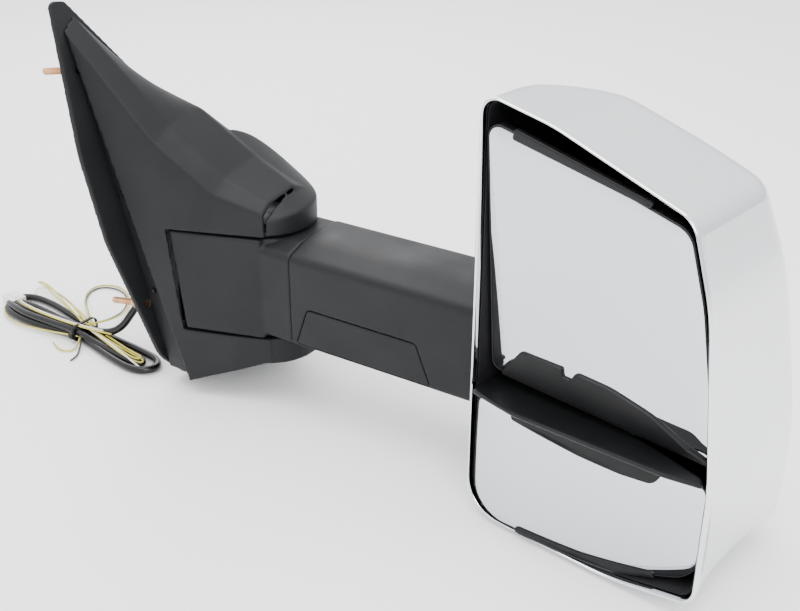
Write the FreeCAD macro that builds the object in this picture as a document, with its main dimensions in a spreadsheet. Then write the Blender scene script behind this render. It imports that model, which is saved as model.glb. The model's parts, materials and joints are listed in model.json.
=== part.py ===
"""Chrome towing mirror for the outboard side of a truck door: telescoping, folding, with two glasses.

Row frame, millimetres: +X points outboard along the arm, +Y forward, +Z up.  The origin lies on the
door-side face of the gasket, on the arm's centreline.  The head is yawed a little towards the driver.
"""
import FreeCAD, Part
import math
import os

os.makedirs("parts", exist_ok=True)
V = FreeCAD.Vector
X_AXIS, Y_AXIS, Z_AXIS = V(1, 0, 0), V(0, 1, 0), V(0, 0, 1)
doc = FreeCAD.newDocument("tow_mirror")
sheet = doc.addObject("Spreadsheet::Sheet", "Dimensions")

# ---------------------------------------------------------------------------------------------
# Driving dimensions, in millimetres and degrees
# ---------------------------------------------------------------------------------------------
DIMENSIONS = {
    # door mount
    "tumblehome": 10.0,
    "gasket_thick": 3.0,
    "plate_thick": 5.0,
    "stud_radius": 3.0,
    "stud_collar_radius": 5.0,
    "stud_length": 58.0,
    # sail cover and fold pivot
    "pivot_x": 103.0,
    "rear_face_yaw": 17.5,
    "cap_radius": 44.0,
    "slot_top": 46.0,
    "slot_bottom": -51.0,
    "tail_radius_top": 86.0,
    "tail_radius_bottom": 78.0,
    "tail_clearance": 3.0,
    "cover_wall": 3.0,
    "shaft_radius": 11.0,
    "shaft_bore": 7.5,
    "running_gap": 0.05,
    "bush_wall": 2.0,
    "lug_thick": 10.0,
    "lug_radius": 24.0,
    # arm
    "arm_rear": -41.0,
    "arm_front": 36.0,
    "arm_bottom": -45.0,
    "arm_top_front": 48.0,
    "arm_wall": 3.0,
    "arm_end": 386.0,
    "rod_radius": 9.0,
    "rod_tip": 484.0,
    # head
    "head_x": 362.2,
    "head_y": -78.8,
    "head_z": 107.4,
    "head_yaw": 8.1,
    "head_wall": 2.6,
    "liner_wall": 1.2,
    "glass_thick": 2.2,
    "holder_thick": 3.0,
    "glass_pitch": 4.5,
    "ball_radius": 8.0,
    "pin_radius": 3.0,
    "plunger_arm": 32.0,
}
for number, (alias, value) in enumerate(DIMENSIONS.items(), start=1):
    sheet.set(f"A{number}", alias)
    sheet.set(f"B{number}", str(value))
    sheet.setAlias(f"B{number}", alias)
doc.recompute()


def dim(alias):
    """The number that a cell of the sheet holds."""
    return float(sheet.get(alias))


# ---------------------------------------------------------------------------------------------
# Small builders
# ---------------------------------------------------------------------------------------------
def bound(obj, **expressions):
    """Ties the properties of an object to cells of the sheet."""
    for name, text in expressions.items():
        obj.setExpression(name, text)
    return obj


def turn_from_z(axis):
    """The rotation that carries +Z to an axis."""
    return FreeCAD.Rotation(Z_AXIS, V(*axis))


def cylinder(name, at, radius, height, axis=(0, 0, 1)):
    """A Part::Cylinder from a point along an axis; radius and height are sheet expressions."""
    obj = doc.addObject("Part::Cylinder", name)
    bound(obj, Radius=radius, Height=height)
    obj.Placement = FreeCAD.Placement(V(*at), turn_from_z(axis))
    return obj


def box(name, at, length, width, height, turn=None):
    """A Part::Box with its low corner at a point."""
    obj = doc.addObject("Part::Box", name)
    bound(obj, Length=length, Width=width, Height=height)
    obj.Placement = FreeCAD.Placement(V(*at), turn or FreeCAD.Rotation())
    return obj


def cut(name, base, tool):
    """A piece with another taken out of it."""
    obj = doc.addObject("Part::Cut", name)
    obj.Base, obj.Tool = base, tool
    return obj


def group(name, *objs):
    """Separate solids that share one node."""
    obj = doc.addObject("Part::Compound", name)
    obj.Links = list(objs)
    return obj


def feature(name, shape):
    """A Part::Feature that holds a shape made with Part's own functions."""
    obj = doc.addObject("Part::Feature", name)
    obj.Shape = shape
    return obj


def rounded_outline(corners):
    """A closed wire of lines and arcs through (point, radius) corners of a flat polygon."""
    edges = []
    count = len(corners)
    starts, ends, middles = [], [], []
    for i in range(count):
        point, radius = corners[i]
        to_last = (corners[i - 1][0] - point).normalize()
        to_next = (corners[(i + 1) % count][0] - point).normalize()
        if radius <= 0:
            starts.append(point)
            ends.append(point)
            middles.append(None)
            continue
        half = to_last.getAngle(to_next) / 2
        setback = radius / math.tan(half)
        inward = (to_last + to_next).normalize()
        starts.append(point + to_last * setback)
        ends.append(point + to_next * setback)
        middles.append(point + inward * (radius / math.sin(half) - radius))
    for i in range(count):
        if middles[i] is not None:
            edges.append(Part.Arc(starts[i], middles[i], ends[i]).toShape())
        follower = starts[(i + 1) % count]
        if (ends[i] - follower).Length > 1e-6:
            edges.append(Part.LineSegment(ends[i], follower).toShape())
    return Part.Wire(edges)


def prism(corners, along):
    """A rounded outline as a face, extruded."""
    return Part.Face(rounded_outline(corners)).extrude(along)


def rounded(points):
    """Corner list in the XY plane from (x, y, radius) triples."""
    return [(V(x, y, 0), radius) for x, y, radius in points]


def sketch_on(body, role, name, wires):
    """A sketch of body on one of its origin planes, holding closed wires of lines, arcs and circles."""
    sketch = body.newObject("Sketcher::SketchObject", name)
    plane = [item for item in body.Origin.OriginFeatures if item.Role == role][0]
    sketch.AttachmentSupport = [(plane, "")]
    sketch.MapMode = "FlatFace"
    for wire in wires:
        for edge in wire.Edges:
            curve = edge.Curve
            if isinstance(curve, Part.Circle) and not edge.isClosed():
                sketch.addGeometry(Part.ArcOfCircle(curve, *edge.ParameterRange), False)
            elif isinstance(curve, Part.Circle):
                sketch.addGeometry(curve, False)
            else:
                ends = [vertex.Point for vertex in edge.Vertexes]
                sketch.addGeometry(Part.LineSegment(*ends), False)
    return sketch


def padded(name, corners, thickness, placement=None, holes=()):
    """A flat piece: a rounded outline with round holes, padded along its own +Z by a sheet expression."""
    body = doc.addObject("PartDesign::Body", name)
    wires = [rounded_outline(rounded(corners))]
    wires += [Part.Wire(Part.Circle(V(x, y, 0), Z_AXIS, radius).toShape()) for x, y, radius in holes]
    pad = body.newObject("PartDesign::Pad", name + "_pad")
    sketch = sketch_on(body, "XY_Plane", name + "_sketch", wires)
    pad.Profile = sketch
    bound(pad, Length=thickness)
    body.Tip = pad
    body.Placement = placement or FreeCAD.Placement()
    return body


def turned(name, profile, placement=None):
    """A round piece: a half profile of (radius, height) points, revolved about its own Z axis."""
    body = doc.addObject("PartDesign::Body", name)
    wire = Part.makePolygon([V(radius, height, 0) for radius, height in profile + profile[:1]])
    turn = body.newObject("PartDesign::Revolution", name + "_turn")
    sketch = sketch_on(body, "XZ_Plane", name + "_sketch", [wire])
    turn.Profile = sketch
    turn.ReferenceAxis = (sketch, ["V_Axis"])
    turn.Angle = 360
    body.Tip = turn
    body.Placement = placement or FreeCAD.Placement()
    return body


def ring_profile(inner, outer, low, high):
    """The half profile of a plain ring."""
    return [(inner, low), (outer, low), (outer, high), (inner, high)]


def at(x, y, z, axis=(0, 0, 1)):
    """A placement at a point with its own +Z along an axis."""
    return FreeCAD.Placement(V(x, y, z), turn_from_z(axis))


def loft(sections, ruled=True):
    """A solid through closed wires."""
    return Part.makeLoft(sections, True, ruled)


# ---------------------------------------------------------------------------------------------
# Door side: gasket, plate, studs
# ---------------------------------------------------------------------------------------------
LEAN = dim("tumblehome")
DOOR_NORMAL = V(math.cos(math.radians(LEAN)), 0, math.sin(math.radians(LEAN)))
DOOR_UP = V(-math.sin(math.radians(LEAN)), 0, math.cos(math.radians(LEAN)))


def door_point(out, forward, rise):
    """A point given by its distance from the door face, its Y and its height up the face."""
    return DOOR_NORMAL * out + Y_AXIS * forward + DOOR_UP * rise


def door_frame(out, forward=0.0, rise=0.0):
    """A placement whose own X is +Y, own Y is up the door face, and own Z leaves the door."""
    turn = FreeCAD.Rotation(Y_AXIS, DOOR_UP, DOOR_NORMAL, "ZXY")
    return FreeCAD.Placement(door_point(out, forward, rise), turn)


PLATE_OUTLINE = [(-94, 237, 6), (-79, 234.5, 6), (-25, 168, 40), (62, 60, 60), (126, -40, 30), (122, -118, 14),
                 (-40, -118, 8), (-66, -90, 40), (-95, 30, 60), (-101, 110, 60)]
GASKET_OUTLINE = [(-90.5, 231.5, 4), (-80.5, 230, 4), (-29, 165, 38), (58, 57, 56), (121, -42, 28), (117, -113, 11),
                  (-38, -113, 6), (-62, -88, 36), (-91, 30, 56), (-97.5, 110, 56)]
STUD_PLACES = [(-81.0, 178.4), (-67.5, -36.5), (88.0, -36.5)]
HARNESS_HOLE = (-15.0, -42.0)

stud_holes = [(forward, rise, dim("stud_radius") + 0.3) for forward, rise in STUD_PLACES]
collar_holes = [(forward, rise, dim("stud_collar_radius") + 0.3) for forward, rise in STUD_PLACES]
grommet_hole = [(*HARNESS_HOLE, 9.0)]
door_gasket = padded("door_gasket", GASKET_OUTLINE, "Dimensions.gasket_thick", door_frame(0),
                     collar_holes + [(*HARNESS_HOLE, 14.0)])
mounting_plate = padded("mounting_plate", PLATE_OUTLINE, "Dimensions.plate_thick",
                        door_frame(dim("gasket_thick")), stud_holes + grommet_hole)
for number, (forward, rise) in enumerate(STUD_PLACES, start=1):
    shank, collar, length = dim("stud_radius"), dim("stud_collar_radius"), dim("stud_length")
    neck = dim("gasket_thick") + 13
    profile = [(0, -length), (shank - 1.0, -length), (shank - 0.4, 3.5 - length), (shank, 4.5 - length),
               (shank, -neck - 3), (collar - 0.8, -neck - 1), (collar, -neck), (collar, dim("gasket_thick")),
               (shank, dim("gasket_thick")), (shank, dim("gasket_thick") + dim("plate_thick")), (0, 8)]
    turned(f"stud_{number}", profile, door_frame(0, forward, rise))
stud_group = group("mounting_studs", *[doc.getObject(f"stud_{number}") for number in (1, 2, 3)])


# ---------------------------------------------------------------------------------------------
# Sail cover: a hollow shell from the plate to the pivot, with a slot in which the arm's tail turns
# ---------------------------------------------------------------------------------------------
PIVOT = V(dim("pivot_x"), 0, 0)
YAW = math.tan(math.radians(dim("rear_face_yaw")))


def rear_face_y(x):
    """The Y of the flat, yawed rear face at an X."""
    return -41.0 + (x - 127.0) * YAW


def cover_section(x_low, x_high, corners, grow=0.0):
    """A closed section in a plane that leans from x_low at z=-103 to x_high at z=230."""
    lean = (x_high - x_low) / 333.0
    middle_y = sum(point[0] for point in corners) / len(corners)
    middle_z = sum(point[1] for point in corners) / len(corners)
    points = []
    for y, z in corners:
        y += grow * (1 if y > middle_y else -1)
        z += grow * (1 if z > middle_z else -1)
        points.append(V(x_low + lean * (z + 103.0), y, z))
    return Part.makePolygon(points + points[:1])


COVER_SECTIONS = [
    # x at the bottom, x at the top, then (y, z): rear bottom, rear middle, rear top, apex, ridge, front, side, foot
    (54, -34, [(-64, -104), (-75, 30), (-88, 211), (-75, 222), (-26, 161), (60, 52), (112, -60), (106, -104)]),
    (78, 26, [(-56, -95), (-66, 20), (-69, 122), (-48, 133), (-8, 138), (58, 78), (72, -40), (66, -96)]),
    (100, 84, [(-50, -86), (-52, 10), (-52.5, 80), (-38, 92), (3, 101), (38, 82), (46, 0), (44, -86)]),
    (130, 130, [(-36, -74), (-38, 0), (-38, 67), (-27, 75), (6, 80), (31, 70), (34, 0), (32, -74)]),
]


def cover_body(grow):
    """The cover's outer form, or its inner one when grow is negative."""
    stations = []
    for x_low, x_high, corners in COVER_SECTIONS:
        stations.append(cover_section(x_low, x_high, corners, grow))
    return loft(stations)


def pivot_sector(radius_low, radius_high, low, high, first, last):
    """The part of a cone about the pivot between two heights and two plan angles in degrees."""
    height = high - low
    solid = Part.makeCone(radius_low, radius_high, height, PIVOT + Z_AXIS * low, Z_AXIS, last - first)
    solid.rotate(PIVOT, Z_AXIS, first)
    return solid


def slot_space(margin):
    """The space that the arm's tail sweeps as the arm folds, with a margin all round."""
    low, high = dim("slot_bottom") - margin, dim("slot_top") + margin
    radius_low = dim("tail_radius_bottom") + dim("tail_clearance") + margin
    radius_high = dim("tail_radius_top") + dim("tail_clearance") + margin
    sweep = pivot_sector(radius_low, radius_high, low, high, 150, 460)
    hub = Part.makeCylinder(dim("cap_radius") + 2 + margin, high - low, PIVOT + Z_AXIS * low)
    return sweep.fuse(hub)


SHAFT_HOLE = Part.makeCylinder(dim("shaft_radius") + 1.0, 108, PIVOT - Z_AXIS * 57)
outer_cover = cover_body(0.0)
cap_end = Part.makeCylinder(dim("cap_radius"), 220, PIVOT - Z_AXIS * 76)
below_roof = Part.makeBox(200, 200, 130, V(20, -100, -80))


def ridge_roof(radius):
    """Everything under the cap's rounded roof, whose ridge runs down from the sail."""
    ridge = V(103, 5, 92)
    along = V(1, 0, -0.595)
    down = V(-0.511, 0, -0.859)
    barrel = Part.makeCylinder(radius, 500, ridge + down * ROOF_RADIUS - along * 200, along)
    return barrel.fuse(below_roof)


ROOF_RADIUS = 66.0
cap_roof = ridge_roof(ROOF_RADIUS)
outer_cover = outer_cover.fuse(cap_end.common(cap_roof)).removeSplitter()
inner_cover = cover_body(-dim("cover_wall"))
inner_end = Part.makeCylinder(dim("cap_radius") - dim("cover_wall"), 217, PIVOT - Z_AXIS * 73)
inner_roof = ridge_roof(ROOF_RADIUS - 3)
solid_tip = Part.makeBox(300, 300, 200, V(-150, -150, 125))
inner_cover = inner_cover.cut(solid_tip)
inner_cover = inner_cover.fuse(inner_end.common(inner_roof))
cover_shape = outer_cover.cut(inner_cover.cut(slot_space(dim("cover_wall"))))
cover_shape = cover_shape.cut(slot_space(0.0)).cut(SHAFT_HOLE)
door_side = Part.makeBox(500, 500, 200)
door_side.Placement = door_frame(dim("gasket_thick") + dim("plate_thick") - 200, -250, -250)


def plate_x(z):
    """The X of the plate's outer face at a height."""
    return (dim("gasket_thick") + dim("plate_thick") - z * DOOR_NORMAL.z) / DOOR_NORMAL.x


def cover_edge_x(z):
    """The X of the cover's inboard rear edge at a height."""
    return 54 - 88 * (z + 103) / 333


def flange_section(z, y):
    """One level of the channel floor between the plate and the cover's inboard edge."""
    low, high = plate_x(z) + 0.2, cover_edge_x(z) + 2
    return Part.makePolygon([V(low, y, z), V(high, y, z), V(high, y + 3, z), V(low, y + 3, z), V(low, y, z)])


flange = loft([flange_section(-99, -59), flange_section(196, -83)])
cover_shape = cover_shape.fuse(flange).cut(door_side)
COVER_SCREWS = [(150, -79.5), (70, -73.0), (-20, -65.7)]
for z, y in COVER_SCREWS:
    middle = (plate_x(z) + cover_edge_x(z)) / 2
    cover_shape = cover_shape.cut(Part.makeCylinder(1.6, 20, V(middle, y - 8, z), Y_AXIS))
cover_solids = sorted(cover_shape.Solids, key=lambda solid: solid.Volume)
sail_cover = feature("sail_cover", cover_solids[-1])

for number, (z, y) in enumerate(COVER_SCREWS, start=1):
    middle = (plate_x(z) + cover_edge_x(z)) / 2
    head_profile = [(0, -2.0), (2.4, -1.6), (2.6, 0), (1.6, 0), (1.6, 6), (0, 7)]
    turned(f"cover_screw_{number}", head_profile, at(middle, y - 0.3, z, (0, 1, 0)))
group("cover_screws", *[doc.getObject(f"cover_screw_{number}") for number in (1, 2, 3)])

# ---------------------------------------------------------------------------------------------
# Fold pivot, fixed side: two lugs, hollow shaft, nut, washers, grommet
# ---------------------------------------------------------------------------------------------
PIVOT_X = dim("pivot_x")
LUG = dim("lug_radius")
LUG_ZS = {"upper_pivot_lug": dim("slot_top") + 4.0, "lower_pivot_lug": dim("slot_bottom") - 4.0 - dim("lug_thick")}
for name, low in LUG_ZS.items():
    root = plate_x(low) + 0.1
    outline = [(root, -30, 2), (root + 14, -30, 6), (PIVOT_X - 20, -LUG, 20), (PIVOT_X + LUG, -LUG, LUG - 1),
               (PIVOT_X + LUG, LUG, LUG - 1), (PIVOT_X - 20, LUG, 20), (root + 14, 30, 6), (root, 30, 2)]
    padded(name, outline, "Dimensions.lug_thick", at(0, 0, low),
           [(PIVOT_X, 0, dim("shaft_radius")), (45, 0, 9)])

SHAFT_LOW = LUG_ZS["lower_pivot_lug"] - 4.0
SHAFT_HIGH = LUG_ZS["upper_pivot_lug"] + dim("lug_thick") + 8.0
shaft, bore = dim("shaft_radius"), dim("shaft_bore")
turned("pivot_shaft", [(bore, SHAFT_LOW), (shaft + 5, SHAFT_LOW), (shaft + 5, SHAFT_LOW + 4), (shaft, SHAFT_LOW + 4),
                       (shaft, SHAFT_HIGH), (bore, SHAFT_HIGH)], at(PIVOT_X, 0, 0))
nut_low = LUG_ZS["upper_pivot_lug"] + dim("lug_thick")
hexagon = [(15.5 * math.cos(math.radians(60 * k)), 15.5 * math.sin(math.radians(60 * k)), 0.8) for k in range(6)]
padded("pivot_nut", hexagon, "Dimensions.gasket_thick * 2", at(PIVOT_X, 0, nut_low), [(0, 0, shaft)])
turned("thrust_washer", ring_profile(shaft + 0.5, 30, dim("slot_bottom") + 0.05, dim("slot_bottom") + 1.9),
       at(PIVOT_X, 0, 0))
turned("spring_washer", ring_profile(shaft + 0.5, 20, dim("slot_top") - 3.0, dim("slot_top") - 0.05),
       at(PIVOT_X, 0, 0))
hole_forward, hole_rise = HARNESS_HOLE
turned("harness_grommet", [(3.0, -7), (6, -7), (8.5, -1), (8.5, 2.9), (9.0, 3.0), (9.0, 8.0), (12, 8.1), (12, 10),
                           (3.0, 10)], door_frame(0, hole_forward, hole_rise))

# ---------------------------------------------------------------------------------------------
# Arm: tail casting that folds, outer shell, service panel, twin slide rods
# ---------------------------------------------------------------------------------------------
TAIL_LOW, TAIL_HIGH = dim("slot_bottom") + 2.0, dim("slot_top") - 2.0
TAIL_END = 158.0
ROD_Y, ROD_ZS = -8.0, (24.0, -24.0)
tail_height = TAIL_HIGH - TAIL_LOW
hub = Part.makeCylinder(42, tail_height, PIVOT + Z_AXIS * TAIL_LOW)
wing = prism([(V(20, rear_face_y(20), TAIL_LOW), 0), (V(127, -41, TAIL_LOW), 0), (V(127, -20, TAIL_LOW), 0),
              (V(20, rear_face_y(20) + 12, TAIL_LOW), 0)], Z_AXIS * tail_height)
wing = wing.common(Part.makeCone(dim("tail_radius_bottom"), dim("tail_radius_top"), tail_height,
                                 PIVOT + Z_AXIS * TAIL_LOW))
ARM_SECTION = [(dim("arm_rear"), dim("arm_bottom"), 4), (dim("arm_rear"), 37, 8), (-12, 47, 60),
               (dim("arm_front"), dim("arm_top_front"), 14), (dim("arm_front"), dim("arm_bottom"), 5)]


def arm_prism(x_low, x_high, inset=0.0):
    """The arm's section between two X stations, inset by a distance."""
    wire = rounded_outline([(V(x_low, y, z), radius) for y, z, radius in ARM_SECTION])
    if inset:
        wire = wire.makeOffset2D(-inset)
    return Part.Face(wire).extrude(X_AXIS * (x_high - x_low))


root_block = arm_prism(112, TAIL_END).common(Part.makeBox(200, 200, tail_height, V(0, -100, TAIL_LOW)))
tail_shape = hub.fuse([wing, root_block]).removeSplitter()
bush_radius = shaft + dim("running_gap") + dim("bush_wall")
tail_shape = tail_shape.cut(Part.makeCylinder(bush_radius, 200, PIVOT - Z_AXIS * 100))
SPRING_SEAT = 12.0
tail_shape = tail_shape.cut(Part.makeCylinder(21.0, 60, PIVOT + Z_AXIS * SPRING_SEAT))
for rod_z in ROD_ZS:
    tail_shape = tail_shape.cut(Part.makeCylinder(dim("rod_radius"), 60, V(130, ROD_Y, rod_z), X_AXIS))
arm_tail = feature("arm_tail", tail_shape)
bush_inner = shaft + dim("running_gap")
turned("lower_bush", ring_profile(bush_inner, bush_radius, TAIL_LOW, TAIL_LOW + 22), at(PIVOT_X, 0, 0))
turned("upper_bush", ring_profile(bush_inner, bush_radius, SPRING_SEAT - 22, SPRING_SEAT), at(PIVOT_X, 0, 0))
SPRING_TOP = dim("slot_top") - 3.3
spring_wire, turns = 3.0, 4
pitch = (SPRING_TOP - SPRING_SEAT - spring_wire - 0.4) / turns
helix = Part.makeHelix(pitch, pitch * turns, 16.5)
helix.translate(PIVOT + Z_AXIS * (SPRING_SEAT + spring_wire / 2 + 0.2))
wire_face = Part.Wire(Part.Circle(PIVOT + V(16.5, 0, SPRING_SEAT + spring_wire / 2 + 0.2), Y_AXIS,
                                  spring_wire / 2).toShape())
spring = Part.Wire(helix.Edges).makePipeShell([wire_face], True, True)
feature("detent_spring", spring)

PANEL = [(164, -41.5, 0.5), (176, -8, 4), (284, -8, 4), (298, -41.5, 0.5)]


def panel_prism(grow, low, high):
    """The service panel's trapezoid on the arm's rear wall, between two depths in Y."""
    wire = rounded_outline([(V(x, low, z), radius) for x, z, radius in PANEL])
    if grow:
        wire = wire.makeOffset2D(grow)
    return Part.Face(wire).extrude(Y_AXIS * (high - low))


arm_hollow = arm_prism(TAIL_END, dim("arm_end"), dim("arm_wall"))
arm_shape = arm_prism(TAIL_END, dim("arm_end")).cut(arm_hollow)
arm_shape = arm_shape.cut(panel_prism(0.4, dim("arm_rear") - 1, dim("arm_rear") + 4))
feature("arm_shell", arm_shape)
feature("arm_service_panel", panel_prism(0, dim("arm_rear"), dim("arm_rear") + 2.4))
guide = arm_prism(370, 380, dim("arm_wall"))
for rod_z in ROD_ZS:
    guide = guide.cut(Part.makeCylinder(dim("rod_radius"), 60, V(350, ROD_Y, rod_z), X_AXIS))
guide = guide.cut(Part.makeBox(60, 26, 20, V(350, -4, -10)))
feature("rod_guide", guide)
for name, rod_z in zip(("upper_slide_rod", "lower_slide_rod"), ROD_ZS):
    outer = cylinder(name + "_outer", (130, ROD_Y, rod_z), "Dimensions.rod_radius", "Dimensions.rod_tip - 130",
                     (1, 0, 0))
    inner = cylinder(name + "_inner", (130, ROD_Y, rod_z), "Dimensions.rod_radius - 2", "Dimensions.rod_tip - 130",
                     (1, 0, 0))
    cut(name, outer, inner)

# ---------------------------------------------------------------------------------------------
# Head: worked out in its own frame (X across the glass, Y into the shell, Z up), then placed
# ---------------------------------------------------------------------------------------------
HEAD = FreeCAD.Placement(V(dim("head_x"), dim("head_y"), dim("head_z")), FreeCAD.Rotation(Z_AXIS, -dim("head_yaw")))
RIM = [(-4.5, 113.5, 14), (55, 101.5, 150), (160, 65, 22), (178, 8, 180), (192, -120, 200), (191, -210, 16),
       (125, -222.5, 200), (-6.5, -222, 30)]


def placed(shape, placement):
    """A copy of a shape built in a local frame, moved to where that frame lies."""
    moved = shape.copy()
    moved.transformShape(placement.toMatrix(), True)
    return moved


def upright_prism(corners, low, high, inset=0.0):
    """A prism along local Y of a rounded outline given as (x, z, radius), optionally inset."""
    wire = rounded_outline([(V(x, low, z), radius) for x, z, radius in corners])
    if inset:
        wire = wire.makeOffset2D(-inset)
    return Part.Face(wire).extrude(Y_AXIS * (high - low))


def front_depth(across, rise):
    """How far the shell's front lies from the rim plane, before its edges are rounded."""
    outboard = max(0.0, across - 50.0) / 142.0
    droop = 0.00024 + 0.00148 * outboard ** 2
    inboard = max(0.0, 50.0 - across)
    return 139.0 - droop * (rise + 167.0) ** 2 - 0.004 * inboard ** 2


def under_front(gap):
    """Everything on the rim's side of the shell's front surface, less a gap."""
    rows = []
    for step_x in range(15):
        across = -40 + step_x * 20
        rows.append([V(across, front_depth(across, rise) - gap, rise) for rise in range(-260, 161, 30)])
    surface = Part.BSplineSurface()
    surface.interpolate(rows)
    return surface.toShape().extrude(Y_AXIS * -400)


WALL = dim("head_wall")
outer_head = upright_prism(RIM, 0, 190).common(under_front(0))
front_edges = [edge for edge in outer_head.Edges if edge.BoundBox.YMin > 20 and edge.BoundBox.YLength < 90
               and max(vertex.Y for vertex in edge.Vertexes) > 40 and edge.Curve.TypeId != "Part::GeomLine"]
outer_head = outer_head.makeFillet(16, front_edges)
inner_head = upright_prism(RIM, -5, 190, WALL).common(under_front(WALL))
inner_edges = [edge for edge in inner_head.Edges if edge.BoundBox.YMin > 20 and edge.BoundBox.YLength < 90
               and max(vertex.Y for vertex in edge.Vertexes) > 40 and edge.Curve.TypeId != "Part::GeomLine"]
inner_head = inner_head.makeFillet(13, inner_edges)
mouth = arm_prism(350, 400, -1.5)
head_shape = placed(outer_head.cut(inner_head), HEAD).cut(mouth)
feature("chrome_shell", head_shape)

LINER = dim("liner_wall")
liner_shape = upright_prism(RIM, 6, 60, WALL + 0.2).cut(upright_prism(RIM, 0, 80, WALL + 0.2 + LINER))
liner_shape = placed(liner_shape.common(under_front(WALL + 14)), HEAD).cut(mouth)
feature("rim_liner", liner_shape)
inside_liner = upright_prism(RIM, 0, 80, WALL + LINER + 0.3)
shelf = Part.makeBox(220, 20, 2.4, V(-14, 16, -110.8)).common(inside_liner)
feature("divider_shelf", placed(shelf, HEAD))

# upper glass frame and lower glass frame: origin at each ball, own Z up the glass
UPPER = HEAD.multiply(FreeCAD.Placement(V(96, 24, -2), FreeCAD.Rotation(X_AXIS, dim("glass_pitch"))))
LOWER = HEAD.multiply(FreeCAD.Placement(V(94, 27, -172), FreeCAD.Rotation(Z_AXIS, 7.0)))
UPPER_GLASS = [(-93.5, 96, 9), (-38, 84.5, 120), (59, 57.5, 16), (72, 8, 150), (84, -78, 60), (85, -101, 6),
               (-93, -95.5, 6)]
LOWER_GLASS = [(-92, 58, 7), (86, 46, 9), (86, -28, 22), (30, -44, 150), (-92, -44.5, 27)]
GLASS, HOLDER = dim("glass_thick"), dim("holder_thick")
FRONT_FLAT, FRONT_CONVEX, CONVEX_RADIUS = -14.5, -25.0, 700.0


def layer(corners, front, thickness, inset, radius=None):
    """A sheet behind a front plane, or behind a sphere's crown when a radius is given."""
    if radius is None:
        return upright_prism(corners, front, front + thickness, inset)
    centre = V(0, FRONT_CONVEX + radius, 0)
    outer_ball = Part.makeSphere(FRONT_CONVEX + radius - front, centre)
    inner_ball = Part.makeSphere(FRONT_CONVEX + radius - front - thickness, centre)
    block = upright_prism(corners, front, front + thickness + 22, inset)
    return block.common(outer_ball).cut(inner_ball)


def ear_pair(along, low, high, back):
    """Two ears either side of the ball, along X or Z, with bores for its pins."""
    ears = []
    for side in (-1, 1):
        start = 14 if side > 0 else -18
        if along == "X":
            ear = Part.makeBox(4, high - low, 10, V(start, low, -5))
        else:
            ear = Part.makeBox(10, high - low, 4, V(-5, low, start))
        ears.append(ear)
    pin = Part.makeCylinder(dim("pin_radius") + 0.05, 60, V(-30, 0, 0) if along == "X" else V(0, 0, -30),
                            X_AXIS if along == "X" else Z_AXIS)
    return [ear.cut(pin) for ear in ears]


def glass_set(prefix, frame, corners, front, radius, case_box, arm_length):
    """Glass, heater film, holder, gimbal, actuator case and cover, motors and plungers of one glass."""
    feature(prefix + "_glass", placed(layer(corners, front, GLASS, 0, radius), frame))
    film_front = front + GLASS
    feature(prefix + "_heater_film", placed(layer(corners, film_front, 0.4, 3, radius), frame))
    back_front = film_front + 0.4
    holder = layer(corners, back_front, HOLDER, 0.4, radius)
    back = back_front + HOLDER
    holder = holder.fuse([ear.common(Part.makeBox(40, 60, 40, V(-20, back - 1.2, -20)))
                          for ear in ear_pair("Z", back - 1.2, 4, 0)])
    feature(prefix + "_holder", placed(holder, frame))
    ball = Part.makeSphere(dim("ball_radius"))
    for axis in (X_AXIS, Z_AXIS):
        ball = ball.fuse(Part.makeCylinder(dim("pin_radius"), 37, axis * -18.5, axis))
    feature(prefix + "_gimbal", placed(ball.removeSplitter(), frame))
    x_low, x_high, z_low, z_high, depth = case_box
    case_front = 9.0
    case = Part.makeBox(x_high - x_low, depth, z_high - z_low, V(x_low, case_front, z_low))
    case = case.cut(Part.makeBox(x_high - x_low - 4, depth, z_high - z_low - 4,
                                 V(x_low + 2, case_front + 2, z_low + 2)))
    case = case.fuse([ear for ear in ear_pair("X", -4, case_front + 0.5, 0)])
    places = [V(0, 0, -arm_length), V(-arm_length, 0, 0)]
    for place in places:
        case = case.cut(Part.makeCylinder(4.1, 40, place, Y_AXIS))
    feature(prefix + "_actuator_case", placed(case, frame))
    cover_box = Part.makeBox(x_high - x_low - 4.4, 2, z_high - z_low - 4.4,
                             V(x_low + 2.2, case_front + depth - 2.0, z_low + 2.2))
    feature(prefix + "_actuator_cover", placed(cover_box, frame))
    motors = []
    for number in (0, 1):
        motor = Part.makeCylinder(5.5, 22, V(12 + 13 * number, case_front + 8, z_low + 4), Z_AXIS)
        motor = motor.fuse(Part.makeCylinder(1.2, 26, V(12 + 13 * number, case_front + 8, z_low + 4), Z_AXIS))
        motors.append(placed(motor, frame))
    feature(prefix + "_motors", Part.makeCompound(motors))
    for name, place in zip(("tilt_plunger", "pan_plunger"), places):
        tip = back + (1.0 if radius is None else 1.6)
        plunger = Part.makeCylinder(4.0, 12 - tip, place + Y_AXIS * tip, Y_AXIS)
        plunger = plunger.fuse(Part.makeCylinder(2.5, depth - 4 - 12, place + Y_AXIS * 12, Y_AXIS))
        feature(f"{prefix}_{name}", placed(plunger.removeSplitter(), frame))


PLUNGER = dim("plunger_arm")
glass_set("upper", UPPER, UPPER_GLASS, FRONT_FLAT, None, (-48, 48, -46, 46, 30), PLUNGER)
glass_set("lower", LOWER, LOWER_GLASS, FRONT_CONVEX, CONVEX_RADIUS, (-44, 44, -36, 12, 28), 26.0)

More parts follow.
